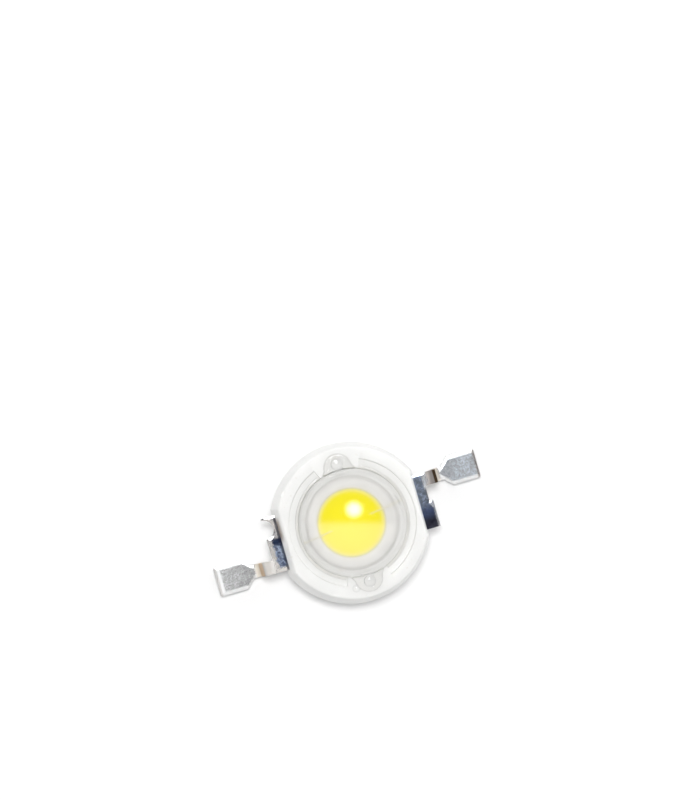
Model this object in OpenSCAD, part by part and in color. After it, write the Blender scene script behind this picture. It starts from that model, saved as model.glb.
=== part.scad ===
// Power LED emitter: a round white body moulded round a metal heat slug and two flat gull-wing leads,
// with a chip in the slug's cup under yellow phosphor, and a clear dome lens filled with soft silicone.
// Millimetres. +Z is the way the light leaves, +X runs to the tip of the cathode lead,
// and the origin is the middle of the slug's underside, which stands on the board.

/* [Lead frame] */
// Length over both leads, tip to tip
lead_span = 14.5; // [14:0.1:15.5]
// Thickness of the lead strip
lead_t = 0.38; // [0.25:0.01:0.45]
// Height of the strip's underside above the board where it leaves the body
lead_root_z = 1.62; // [1.5:0.02:1.8]
// Gap between the board and the underside of a solder pad
pad_gap = 0.12; // [0:0.02:0.3]
// Width of a solder pad
pad_w = 1.5; // [1.2:0.05:1.8]
// How far a pad's middle stands off the X axis
pad_y = 1.1; // [0.9:0.05:1.3]
// Length of the slope between neck and pad
flare_l = 0.43; // [0.2:0.01:0.8]
// Straight length between the lower bend and the slope
flare_gap = 0.1; // [0:0.01:0.3]
// Radius of a pad's outer corners
pad_corner_r = 0.08; // [0.02:0.01:0.2]
// Width of the neck between cross bar and pad
neck_w = 0.68; // [0.5:0.02:0.9]
// Reach of the cross bar from the middle of the body
bar_x = 4.36; // [4.25:0.01:4.4]
// Length of the cross bar
bar_l = 2.84; // [2.6:0.02:3]
// How far the cross bar is buried in the body wall
bar_bury = 0.3; // [0.1:0.02:0.5]
// Where the neck starts to bend down
bend_x = 4.42; // [4.4:0.01:4.6]
// Inner radius of the upper bend
upper_bend_r = 0.12; // [0.05:0.01:0.25]
// Inner radius of the lower bend
lower_bend_r = 0.3; // [0.1:0.01:0.35]
// Steepness of the strip between the bends, in degrees
drop_angle = 84; // [70:1:89]
// Radius of the inside corner between neck and cross bar
neck_fillet = 0.18; // [0.05:0.01:0.25]
// Radius of the round notch that marks the anode
notch_r = 0.5; // [0.3:0.01:0.52]
// Metal left beside the notch at the end of the cross bar
notch_land = 0.09; // [0.05:0.01:0.3]
// Depth of the step in the cathode's cross bar
relief_depth = 0.2; // [0.1:0.01:0.3]
// Where the step in the cathode's cross bar begins
relief_y = -0.06; // [-0.5:0.01:0.2]
// Width of the strip inside the body
finger_w = 1.3; // [0.8:0.05:1.6]
// Diameter of the circle that the strips' inner ends stand back from
finger_gap_d = 3.45; // [3.3:0.01:3.5]

/* [Heat slug] */
// Diameter of the slug's foot
slug_d = 5.9; // [5:0.1:6.4]
// Height of the foot
slug_foot_h = 0.95; // [0.8:0.05:1]
// Chamfer round the underside of the foot
slug_chamfer = 0.12; // [0.05:0.01:0.25]
// Diameter of the shoulder that the body grips
shoulder_d = 4.7; // [4:0.1:4.8]
// Height of the shoulder above the foot
shoulder_h = 0.3; // [0.2:0.02:0.4]
// Depth of the locking groove under the shoulder
groove_depth = 0.2; // [0.1:0.02:0.3]
// Width of the locking groove
groove_w = 0.12; // [0.08:0.01:0.18]
// Diameter of the post that carries the cup
post_d = 3.05; // [2.8:0.05:3.2]
// Height of the post's rim above the lead strip
rim_rise = 0.15; // [0:0.01:0.25]
// Diameter of the reflector cup at its rim
cup_d = 2.28; // [2:0.01:2.5]
// Diameter of the cup's floor
cup_floor_d = 1.64; // [1.55:0.01:1.9]
// Depth of the cup
cup_depth = 0.5; // [0.4:0.01:0.6]

/* [Body] */
// Diameter of the body at its top face
body_top_d = 7.7; // [7.5:0.05:8]
// Width of the body across its two flats, at the top face
flat_w = 6.94; // [6.8:0.02:7.1]
// Gap between the board and the body's underside
body_gap = 0.55; // [0.3:0.05:0.7]
// Height of the top face above the board
body_top_z = 2.85; // [2.75:0.05:3.1]
// Slope of the wall above the parting line, in degrees
top_draft = 11.5; // [3:0.5:14]
// Slope of the wall below the parting line, in degrees
foot_draft = 9; // [2:0.5:14]
// Rounding of the top face's outer edge
top_edge_r = 0.12; // [0.04:0.01:0.2]
// Chamfer round the underside
foot_chamfer = 0.1; // [0.02:0.01:0.2]
// Depth of the two curved pockets beside the lens
pocket_depth = 0.15; // [0.05:0.01:0.2]
// Outer diameter of the curved pockets
pocket_d = 6.48; // [6.3:0.02:6.6]
// Angle from the Y axis to the end of each pocket
pocket_end = 21; // [19:1:35]
// Depth of the ledge that the lens stands on, below the top face
ledge_depth = 0.4; // [0.3:0.02:0.5]
// Diameter of the well's floor round the post
well_floor_d = 4; // [3.7:0.05:4.2]
// Diameter of the ejector pin mark in the top face
pin_mark_d = 0.38; // [0.2:0.02:0.5]
// Depth of the ejector pin mark
pin_mark_depth = 0.02; // [0.01:0.01:0.05]
// Width of the nick where the moulding gate was broken off
gate_w = 0.28; // [0.1:0.02:0.4]
// Depth of that nick into the top edge
gate_depth = 0.07; // [0.02:0.01:0.12]

/* [Chip] */
// Side of the chip
chip_w = 1; // [0.6:0.02:1.05]
// Thickness of the chip
chip_t = 0.15; // [0.08:0.01:0.2]
// Thickness of the bond layer under the chip
bond_t = 0.03; // [0.02:0.01:0.05]
// How far the bond layer shows round the chip
bond_edge = 0.03; // [0:0.01:0.05]
// Diameter of a bond wire
wire_d = 0.03; // [0.02:0.01:0.06]
// Radius of a bond wire's arch
wire_arch_r = 0.92; // [0.85:0.01:1.1]
// Distance from the chip's middle to a wire's ball
wire_start = 0.34; // [0.2:0.01:0.36]
// Distance from the chip's middle to a wire's foot
wire_end = 1.82; // [1.8:0.01:1.86]
// Diameter of the ball on the chip
ball_d = 0.09; // [0.06:0.01:0.14]
// Height of the ball, and of the foot on the lead
ball_h = 0.035; // [0.02:0.005:0.05]
// Turn of the wires off the X axis, in degrees
wire_turn = 8; // [0:1:12]
// Height of the phosphor's crown above the cup's rim
phosphor_crown = 0.06; // [0.02:0.01:0.07]

/* [Lens] */
// Diameter of the dome
lens_d = 5.5; // [5.3:0.02:5.6]
// Height of the dome above the body's top face
lens_rise = 2.55; // [2.4:0.05:3]
// Diameter of the hollow inside the dome
hollow_d = 4.3; // [4.1:0.05:4.5]
// Thickness of the dome at its crown
crown_t = 0.8; // [0.5:0.05:1]
// Gap between the lens and the bore in the body
lens_fit = 0.03; // [0.02:0.01:0.05]
// Width of the thin rim that lies in the pockets
rim_w = 0.16; // [0.08:0.01:0.18]
// Thickness of that rim
rim_t = 0.12; // [0.05:0.01:0.15]
// Angle between each end of the rim and the end of its pocket
rim_end_gap = 2; // [1:0.5:4]
// Radius of each ear
ear_r = 0.71; // [0.6:0.01:0.74]
// Distance from the middle of the lens to an ear's centre
ear_y = 2.88; // [2.8:0.01:2.92]
// Thickness of the ears
ear_t = 0.28; // [0.2:0.01:0.35]
// Half the width of an ear where it meets the dome
ear_root = 0.98; // [0.8:0.01:1]
// Diameter of the filling hole in each ear
ear_hole_d = 0.58; // [0.4:0.02:0.6]
// Distance from the middle of the lens to a filling hole
ear_hole_y = 3.06; // [3.04:0.01:3.1]

/* [Silicone] */
// Width of the channel from each filling hole to the hollow
channel_w = 0.5; // [0.3:0.02:0.56]
// Depth of the channel below the top face
channel_depth = 0.25; // [0.15:0.01:0.3]
// How far the silicone stands below the top of each ear
fill_drop = 0.12; // [0.05:0.01:0.15]
// Radius of the squeezed-out bead beside one ear
bead_r = 0.2; // [0.1:0.01:0.24]
// Place of the bead across the body
bead_x = -0.74; // [-0.8:0.01:-0.7]
// Place of the bead along the body
bead_y = -3.24; // [-3.3:0.01:-3.2]

/* [Hidden] */
$fn = 96;
// Only a short arc of the crown's large circle is used, so it is drawn finer
crown_fn = 240;
eps = 0.05;
far = 10;
quarter_turn = 90;
half_turn = 180;

lead_top_z = lead_root_z + lead_t;
pad_top_z = pad_gap + lead_t;
pad_end_x = lead_span / 2;
neck_outer_y = bar_l / 2;
neck_y = neck_outer_y - neck_w / 2;
drop_out = upper_bend_r + lead_t + lower_bend_r;
bends_rise = lead_root_z - upper_bend_r - pad_top_z - lower_bend_r;
drop_l = (bends_rise + drop_out * cos(drop_angle)) / sin(drop_angle);
pad_start_x = bend_x + drop_out * sin(drop_angle) + drop_l * cos(drop_angle);

rim_z = lead_top_z + rim_rise;
cup_z = rim_z - cup_depth;
chip_z = cup_z + bond_t;
chip_top_z = chip_z + chip_t;

body_wall_k = tan(top_draft);
foot_wall_k = tan(foot_draft);
body_top_r = body_top_d / 2;
parting_step = (body_top_z - lead_root_z) * body_wall_k;
foot_step = (lead_root_z - body_gap) * foot_wall_k;
bar_start_x = flat_w / 2 + parting_step - bar_bury;
ledge_z = body_top_z - ledge_depth;
bore_r = lens_d / 2 + lens_fit;

apex_z = body_top_z + lens_rise;
dome_z = apex_z - lens_d / 2;
hollow_z = apex_z - crown_t - hollow_d / 2;
ear_top_z = body_top_z + ear_t;
fill_top_z = ear_top_z - fill_drop;
channel_z = body_top_z - channel_depth;
ear_sides = [1, -1];
pocket_sides = [0, half_turn];

// The ejector pin mark lies between pocket and edge, and the gate nick in the edge
pin_mark_turn = 150;
pin_mark_at = (pocket_d / 2 + body_top_r) / 2;
gate_turn = 142;

// A wire's arch is an arc from the ball on the chip to the foot on the lead
wire_from = [wire_start, chip_top_z];
wire_to = [wire_end, lead_top_z];
wire_mid = (wire_from + wire_to) / 2;
wire_chord = wire_to - wire_from;
wire_sink = sqrt(pow(wire_arch_r, 2) - pow(norm(wire_chord) / 2, 2)) / norm(wire_chord);
wire_centre = wire_mid - wire_sink * [-wire_chord[1], wire_chord[0]];
wire_a0 = atan2(wire_from[1] - wire_centre[1], wire_from[0] - wire_centre[0]);
wire_a1 = atan2(wire_to[1] - wire_centre[1], wire_to[0] - wire_centre[0]);

function ray(a) = [cos(a), sin(a)];

// Turns an XZ profile into a solid w wide, centred on y
module across(w, y = 0) {
    translate([0, y + w / 2, 0]) rotate([quarter_turn, 0, 0]) linear_extrude(w) children();
}

// A wedge from angle a0 to angle a1, less than half a turn
module wedge(reach, a0, a1) {
    polygon([[0, 0], reach * ray(a0), reach * ray((a0 + a1) / 2), reach * ray(a1)]);
}

// Part of a flat ring from angle a0 to angle a1
module ring_sector(r_in, r_out, a0, a1) {
    intersection() {
        difference() {
            circle(r_out);
            circle(r_in);
        }
        wedge(2 * r_out, a0, a1);
    }
}

// What a bend takes off a square-cornered strip: the hollow inside it and the corner outside it
module bend_cut(centre, r_in, a0, a1) {
    r_out = r_in + lead_t;
    translate(centre) {
        circle(r_in);
        difference() {
            wedge(2 * r_out, a0, a1);
            circle(r_out);
        }
    }
}

// The strip's way down from the neck to the pad, with its two bends
module drop() {
    upper = [bend_x, lead_root_z - upper_bend_r];
    lower = [pad_start_x, pad_top_z + lower_bend_r];
    upper_a = quarter_turn - drop_angle;
    lower_a = upper_a + half_turn;
    corner_k = 1 / cos(drop_angle / 2);
    across(neck_w, neck_y) difference() {
        polygon([
            [bend_x, lead_top_z],
            upper + corner_k * (upper_bend_r + lead_t) * ray(upper_a + drop_angle / 2),
            lower + lower_bend_r * ray(lower_a), lower, [pad_start_x, pad_top_z], [pad_start_x, pad_gap],
            lower + corner_k * (lower_bend_r + lead_t) * ray(lower_a + drop_angle / 2),
            upper + upper_bend_r * ray(upper_a), upper, [bend_x, lead_root_z]
        ]);
        bend_cut(upper, upper_bend_r, upper_a, upper_a + drop_angle);
        bend_cut(lower, lower_bend_r, lower_a, lower_a + drop_angle);
    }
}

// The cross bar, the neck up to its bend and the strip inside the body, seen from above
module root_outline(notched) {
    bar_inner_x = bar_x - relief_depth;
    corner_x = notched ? bar_x : bar_inner_x;
    neck_side_y = neck_outer_y - neck_w;
    difference() {
        translate([0, -finger_w / 2]) square([bar_start_x + eps, finger_w]);
        circle(d = finger_gap_d);
    }
    difference() {
        translate([bar_start_x, -bar_l / 2]) square([bar_x - bar_start_x, bar_l]);
        if (notched)
            translate([bar_x, -bar_l / 2 + notch_land + notch_r]) circle(notch_r);
        else
            translate([bar_inner_x, relief_y]) square([far, neck_side_y - relief_y]);
    }
    translate([bar_start_x, neck_side_y]) square([bend_x - bar_start_x, neck_w]);
    fillet = min(neck_fillet, neck_side_y - relief_y, bend_x - corner_x);
    difference() {
        translate([corner_x, neck_side_y - fillet]) square(fillet);
        translate([corner_x + fillet, neck_side_y - fillet]) circle(fillet);
    }
}

module lead_root(notched) {
    translate([0, 0, lead_root_z]) linear_extrude(lead_t) root_outline(notched);
}

// The solder pad with its sloping shoulders, seen from above
module pad_outline() {
    slope_x = pad_start_x + flare_gap;
    full_x = slope_x + flare_l;
    low = pad_y - pad_w / 2;
    high = pad_y + pad_w / 2;
    neck_low = neck_outer_y - neck_w;
    r = pad_corner_r;
    polygon([
        [pad_start_x, neck_low], [slope_x, neck_low], [full_x, low],
        [pad_end_x - r, low], [pad_end_x, low + r], [pad_end_x, high - r],
        [pad_end_x - r, high], [full_x, high], [slope_x, neck_outer_y], [pad_start_x, neck_outer_y]
    ]);
    for (y = [low + r, high - r]) translate([pad_end_x - r, y]) circle(r);
}

// One lead, with its pad on the +X side. The anode has the round notch, the cathode the step
module lead(notched) {
    lead_root(notched);
    drop();
    translate([0, 0, pad_gap]) linear_extrude(lead_t) pad_outline();
}

module cathode_lead() {
    color([0.72, 0.74, 0.78]) lead(false);
}

module anode_lead() {
    color([0.72, 0.74, 0.78]) rotate([0, 0, half_turn]) lead(true);
}

// The slug without its cup: foot, shoulder with locking groove, and post
module slug_form() {
    foot_r = slug_d / 2;
    shoulder_r = shoulder_d / 2;
    shoulder_z = slug_foot_h + shoulder_h;
    rotate_extrude() polygon([
        [0, 0], [foot_r - slug_chamfer, 0], [foot_r, slug_chamfer], [foot_r, slug_foot_h],
        [shoulder_r - groove_depth, slug_foot_h], [shoulder_r - groove_depth, slug_foot_h + groove_w],
        [shoulder_r, slug_foot_h + groove_w], [shoulder_r, shoulder_z],
        [post_d / 2, shoulder_z], [post_d / 2, rim_z], [0, rim_z]
    ]);
}

// What the cup holds up to its rim
module cup_form() {
    translate([0, 0, cup_z])
        cylinder(h = cup_depth, r1 = cup_floor_d / 2, r2 = cup_d / 2);
}

module heat_slug() {
    color([0.80, 0.77, 0.72]) difference() {
        slug_form();
        cup_form();
    }
}

module die_bond() {
    side = chip_w + 2 * bond_edge;
    color([0.66, 0.66, 0.68]) translate([-side / 2, -side / 2, cup_z]) cube([side, side, bond_t]);
}

module led_chip() {
    color([0.36, 0.44, 0.74]) translate([-chip_w / 2, -chip_w / 2, chip_z])
        cube([chip_w, chip_w, chip_t]);
}

// A block whose top is at height z, wide enough to trim a wire's end at x
module block_below(z, x) {
    side = 3 * ball_d;
    translate([x - side / 2, -side / 2, z - side]) cube(side);
}

// One bond wire towards +X: ball, arch and foot
module wire_form() {
    rotate([0, 0, wire_turn]) difference() {
        union() {
            translate([wire_centre[0], 0, wire_centre[1]]) rotate([quarter_turn, 0, 0])
                rotate([0, 0, wire_a1]) rotate_extrude(angle = wire_a0 - wire_a1)
                    translate([wire_arch_r, 0]) circle(d = wire_d);
            translate([wire_start, 0, chip_top_z]) cylinder(h = ball_h, d = ball_d);
            translate([wire_end, 0, lead_top_z]) cylinder(h = ball_h / 2, d = ball_d);
        }
        block_below(chip_top_z, wire_start);
        block_below(lead_top_z, wire_end);
    }
}

module cathode_wire() {
    color([0.95, 0.78, 0.35]) wire_form();
}

module anode_wire() {
    color([0.95, 0.78, 0.35]) rotate([0, 0, half_turn]) wire_form();
}

module both_wires() {
    for (turn = [0, half_turn]) rotate([0, 0, turn]) wire_form();
}

// What fills the cup, with its low crown over the rim
module phosphor_form() {
    r = cup_d / 2;
    ball_r = (pow(r, 2) + pow(phosphor_crown, 2)) / (2 * phosphor_crown);
    side_k = (r - cup_floor_d / 2) / cup_depth;
    over = 2 * phosphor_crown;
    rotate_extrude() intersection() {
        polygon([
            [0, cup_z], [cup_floor_d / 2, cup_z], [r + over * side_k, rim_z + over], [0, rim_z + over]
        ]);
        translate([0, rim_z + phosphor_crown - ball_r]) circle(ball_r, $fn = crown_fn);
    }
}

module phosphor() {
    color([1.0, 0.90, 0.16]) difference() {
        phosphor_form();
        die_bond();
        led_chip();
        both_wires();
    }
}

// The channels that join the filling holes to the hollow, h tall
module feed_channels(h) {
    for (side = ear_sides) on_side(side) translate([-channel_w / 2, 0, channel_z])
        cube([channel_w, ear_hole_y, h]);
}

// Everything that the silicone fills: the well round the post, the hollow of the lens,
// the two filling holes and the channels that join them
module silicone_space() {
    translate([0, 0, lead_top_z])
        cylinder(h = ledge_z - lead_top_z, r1 = well_floor_d / 2, r2 = hollow_d / 2);
    intersection() {
        union() {
            translate([0, 0, hollow_z]) sphere(d = hollow_d);
            translate([0, 0, ledge_z]) cylinder(h = max(eps, hollow_z - ledge_z), d = hollow_d);
        }
        translate([-far, -far, ledge_z]) cube([2 * far, 2 * far, far]);
    }
    feed_channels(channel_depth);
    for (side = ear_sides) on_side(side) translate([0, ear_hole_y, channel_z])
        cylinder(h = fill_top_z - channel_z, d = ear_hole_d);
}

// Turns a shape made for the +Y side to the -Y side
module on_side(side) {
    rotate([0, 0, side > 0 ? 0 : half_turn]) children();
}

module silicone_fill() {
    color([0.86, 0.93, 0.97, 0.4]) difference() {
        silicone_space();
        slug_form();
        phosphor_form();
        both_wires();
    }
}

// Both curved bands beside the lens, from r_in to r_out, ending short of the ears
module side_bands(r_in, r_out, end_angle, z, h) {
    for (turn = pocket_sides) rotate([0, 0, turn]) translate([0, 0, z]) linear_extrude(h)
        ring_sector(r_in, r_out, end_angle - quarter_turn, quarter_turn - end_angle);
}

// One ear of the lens with its sloping root, seen from above
module ear_outline() {
    root_y = sqrt(pow(lens_d / 2, 2) - pow(ear_root, 2)) - eps;
    translate([0, ear_y]) circle(ear_r);
    polygon([[-ear_root, root_y], [ear_root, root_y], [ear_r, ear_y], [-ear_r, ear_y]]);
}

module ear_forms() {
    for (side = ear_sides) on_side(side)
        translate([0, 0, body_top_z]) linear_extrude(ear_t) ear_outline();
}

// The lens without its hollow: dome, skirt, thin rim and ears
module lens_form() {
    intersection() {
        union() {
            translate([0, 0, dome_z]) sphere(d = lens_d);
            translate([0, 0, ledge_z]) cylinder(h = dome_z - ledge_z, d = lens_d);
        }
        translate([-far, -far, ledge_z]) cube([2 * far, 2 * far, far]);
    }
    side_bands(lens_d / 2 - 2 * eps, lens_d / 2 + rim_w, pocket_end + rim_end_gap,
        body_top_z - pocket_depth, rim_t);
    ear_forms();
}

module lens() {
    color([0.90, 0.95, 1.0, 0.35]) difference() {
        lens_form();
        silicone_space();
        for (side = ear_sides) on_side(side)
            translate([0, ear_hole_y, body_top_z]) cylinder(h = 2 * ear_t, d = ear_hole_d);
    }
}

// A little silicone squeezed out beside one ear
module silicone_bead() {
    color([0.92, 0.95, 0.97, 0.5]) difference() {
        translate([bead_x, bead_y, body_top_z]) sphere(bead_r);
        translate([-far, -far, body_top_z - far]) cube([2 * far, 2 * far, far]);
        ear_forms();
    }
}

// Half section of the body's outside: sloping walls that meet at the parting line, and a rounded top edge
module body_section() {
    lean = sqrt(1 + pow(body_wall_k, 2));
    edge_x = body_top_r + top_edge_r * (body_wall_k - lean);
    edge_z = body_top_z - top_edge_r;
    parting_r = body_top_r + parting_step;
    foot_r = parting_r - foot_step;
    polygon([
        [0, body_gap], [foot_r - foot_chamfer, body_gap],
        [foot_r + foot_chamfer * foot_wall_k, body_gap + foot_chamfer],
        [parting_r, lead_root_z],
        [edge_x + top_edge_r / lean, edge_z + top_edge_r * body_wall_k / lean],
        [edge_x, edge_z], [edge_x, body_top_z], [0, body_top_z]
    ]);
    translate([edge_x, edge_z]) circle(top_edge_r);
}

// Side view of the two flats that the leads come out of
module flats_section() {
    top_x = flat_w / 2;
    parting_x = top_x + parting_step;
    foot_x = parting_x - foot_step;
    right = [[foot_x, body_gap], [parting_x, lead_root_z], [top_x, body_top_z]];
    left = [[-top_x, body_top_z], [-parting_x, lead_root_z], [-foot_x, body_gap]];
    polygon(concat(right, left));
}

module housing() {
    color([0.95, 0.95, 0.93]) difference() {
        intersection() {
            rotate_extrude() body_section();
            across(2 * far) flats_section();
        }
        translate([0, 0, ledge_z]) cylinder(h = far, r = bore_r);
        side_bands(bore_r - eps, pocket_d / 2, pocket_end, body_top_z - pocket_depth, far);
        silicone_space();
        feed_channels(far);
        slug_form();
        lead_root(false);
        rotate([0, 0, half_turn]) lead_root(true);
        rotate([0, 0, pin_mark_turn]) translate([pin_mark_at, 0, body_top_z - pin_mark_depth])
            cylinder(h = far, d = pin_mark_d);
        rotate([0, 0, gate_turn]) translate([body_top_r - gate_depth, -gate_w / 2, body_top_z - gate_w / 2])
            cube([far, gate_w, far]);
    }
}

heat_slug();
housing();
cathode_lead();
anode_lead();
die_bond();
led_chip();
cathode_wire();
anode_wire();
phosphor();
silicone_fill();
lens();
silicone_bead();
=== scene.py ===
"""Looks of the power LED emitter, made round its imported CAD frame: finely meshed pieces with their
finishes, a white floor, soft lamps and a camera over the dome. Lengths are in metres."""

import math
from functools import partialmethod

import bmesh
import bpy
from mathutils import Matrix, Vector


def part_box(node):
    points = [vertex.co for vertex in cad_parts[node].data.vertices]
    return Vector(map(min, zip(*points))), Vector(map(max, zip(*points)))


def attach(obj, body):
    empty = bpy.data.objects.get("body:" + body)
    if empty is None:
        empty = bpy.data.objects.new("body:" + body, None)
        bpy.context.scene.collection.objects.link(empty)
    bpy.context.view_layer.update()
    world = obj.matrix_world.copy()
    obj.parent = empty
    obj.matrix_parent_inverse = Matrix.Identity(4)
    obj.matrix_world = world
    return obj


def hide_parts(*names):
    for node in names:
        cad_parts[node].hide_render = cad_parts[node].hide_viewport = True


bl_info = {
    "name": "Power LED emitter",
    "version": (1, 0, 0),
    "blender": (4, 5, 0),
    "location": "3D View > Sidebar > Emitter",
    "description": "Dresses the CAD frame of a power LED emitter and sets up its floor, lamps and camera",
    "category": "Object",
}

MM = 0.001
MERGE = 1e-8
CELL = 0.05 * MM
WHITE = (1.0, 1.0, 1.0)
QUARTER = math.pi / 2
HALF = math.pi
FULL = 2 * math.pi
BODY = "root"

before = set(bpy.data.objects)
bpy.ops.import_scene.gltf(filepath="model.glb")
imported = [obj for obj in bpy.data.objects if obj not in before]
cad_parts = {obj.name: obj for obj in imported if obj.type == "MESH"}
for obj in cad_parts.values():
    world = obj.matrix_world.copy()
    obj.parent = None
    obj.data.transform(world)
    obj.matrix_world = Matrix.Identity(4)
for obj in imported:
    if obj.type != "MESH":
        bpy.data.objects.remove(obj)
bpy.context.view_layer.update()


def top_of(node):
    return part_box(node)[1]


def bottom_of(node):
    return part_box(node)[0]


# settings


def length(name, description, default_mm, least_mm=0.0):
    return bpy.props.FloatProperty(
        name=name, description=description, default=default_mm * MM, min=least_mm * MM, max=20 * MM,
        precision=5, unit="LENGTH")


def angle(name, description, degrees):
    return bpy.props.FloatProperty(
        name=name, description=description, default=math.radians(degrees), unit="ROTATION")


def share(name, description, default, most=1.0):
    return bpy.props.FloatProperty(name=name, description=description, default=default, min=0.0, max=most)


def colour(name, description, default):
    return bpy.props.FloatVectorProperty(
        name=name, description=description, default=default, subtype="COLOR", size=3, min=0.0, max=1.0)


class HousingSettings(bpy.types.PropertyGroup):
    top_diameter: length("Top diameter", "Diameter of the body at its top face", 7.7)
    flat_width: length("Width across flats", "Width across the two flats, at the top face", 6.94)
    parting_height: length("Parting line height", "Height of the line where the mould's halves met", 1.62)
    flash: length("Flash", "How far the parting line stands out", 0.012)
    top_draft: angle("Upper draft", "Slope of the wall above the parting line", 11.5)
    foot_draft: angle("Lower draft", "Slope of the wall below the parting line", 9.0)
    edge_round: length("Top edge radius", "Rounding of the top face's outer edge", 0.12)
    foot_chamfer: length("Foot chamfer", "Chamfer round the underside", 0.1)
    corner_round: length("Corner radius", "Rounding of the upright corners beside the flats", 0.08)
    pocket_depth: length("Pocket depth", "Depth of the two curved pockets beside the lens", 0.15)
    pocket_diameter: length("Pocket diameter", "Outer diameter of the curved pockets", 6.48)
    pocket_end: angle("Pocket end", "Angle from the Y axis to the end of each pocket", 21.0)
    bore_diameter: length("Bore diameter", "Diameter of the bore that the lens stands in", 5.56)
    well_diameter: length("Well diameter", "Diameter of the well's floor round the post", 4.0)
    channel_width: length("Channel width", "Width of the channels that feed the silicone in", 0.5)
    channel_depth: length("Channel depth", "Depth of those channels below the top face", 0.25)
    plastic: colour("Plastic", "Colour of the moulded plastic", (0.885, 0.885, 0.87))


class LensSettings(bpy.types.PropertyGroup):
    dome_diameter: length("Dome diameter", "Diameter of the dome", 5.5)
    hollow_diameter: length("Hollow diameter", "Diameter of the hollow inside the dome", 4.3)
    crown: length("Crown thickness", "Thickness of the dome at its crown", 0.8)
    rim_width: length("Rim width", "Width of the thin rim that lies in the pockets", 0.16)
    rim_thickness: length("Rim thickness", "Thickness of that rim", 0.12)
    ear_radius: length("Ear radius", "Radius of each ear", 0.71)
    ear_offset: length("Ear offset", "From the middle of the lens to an ear's centre", 2.88)
    ear_thickness: length("Ear thickness", "Thickness of the ears", 0.28)
    ear_root: length("Ear root", "Half the width of an ear where it meets the dome", 0.98)
    hole_diameter: length("Hole diameter", "Diameter of the filling hole in each ear", 0.58)
    hole_offset: length("Hole offset", "From the middle of the lens to a filling hole", 3.06)
    tint: colour("Tint", "Tint of the clear plastic", (0.985, 0.98, 0.965))


class LeadSettings(bpy.types.PropertyGroup):
    thickness: length("Thickness", "Thickness of the lead strip", 0.38)
    root_height: length("Root height", "Height of its underside where it leaves the body", 1.62)
    pad_gap: length("Pad gap", "Gap between the board and the underside of a solder pad", 0.12)
    pad_width: length("Pad width", "Width of a solder pad", 1.5)
    pad_offset: length("Pad offset", "How far a pad's middle stands off the X axis", 1.1)
    flare: length("Flare", "Length of the slope between neck and pad", 0.43)
    flare_gap: length("Flare gap", "Straight length between the lower bend and the slope", 0.1)
    neck_width: length("Neck width", "Width of the neck between cross bar and pad", 0.68)
    bar_reach: length("Bar reach", "Reach of the cross bar from the middle of the body", 4.36)
    bar_length: length("Bar length", "Length of the cross bar", 2.84)
    bend_start: length("Bend start", "Where the neck starts to bend down", 4.42)
    upper_radius: length("Upper bend", "Inner radius of the upper bend", 0.12)
    lower_radius: length("Lower bend", "Inner radius of the lower bend", 0.3)
    steepness: angle("Steepness", "Slope of the strip between its bends", 84.0)
    fillet: length("Neck fillet", "Radius of the inside corner between neck and cross bar", 0.18)
    notch_radius: length("Notch radius", "Radius of the round notch that marks the anode", 0.5)
    notch_land: length("Notch land", "Metal left beside the notch", 0.09)
    relief: length("Relief", "Depth of the step in the cathode's cross bar", 0.2)
    relief_start: length("Relief start", "Where that step begins", -0.06, -1.0)
    finger_width: length("Finger width", "Width of the strip inside the body", 1.3)
    finger_gap: length("Finger gap", "Diameter of the circle round the post that the strips end at", 3.45)
    roll_width: length("Roll width", "Width of the rolled edge that the punch leaves", 0.14)
    roll_depth: length("Roll depth", "Depth of that rolled edge", 0.028)
    silver: colour("Silver", "Colour of the silver plating", (0.68, 0.685, 0.69))
    # the tarnish colours below also carry painted reflection and shade on the cross bars
    tarnish: colour("Tarnish", "Colour of lightly tarnished plating", (0.23, 0.27, 0.345))
    sulphide_and_shade: colour("Sulphide", "Colour of heavily tarnished plating", (0.014, 0.014, 0.028))
    blue: colour("Blue tarnish", "Colour of the plating where its tarnish turns blue", (0.05, 0.075, 0.16))
    copper: colour("Copper", "Colour of the copper that shows at the bends", (0.62, 0.47, 0.33))


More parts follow.
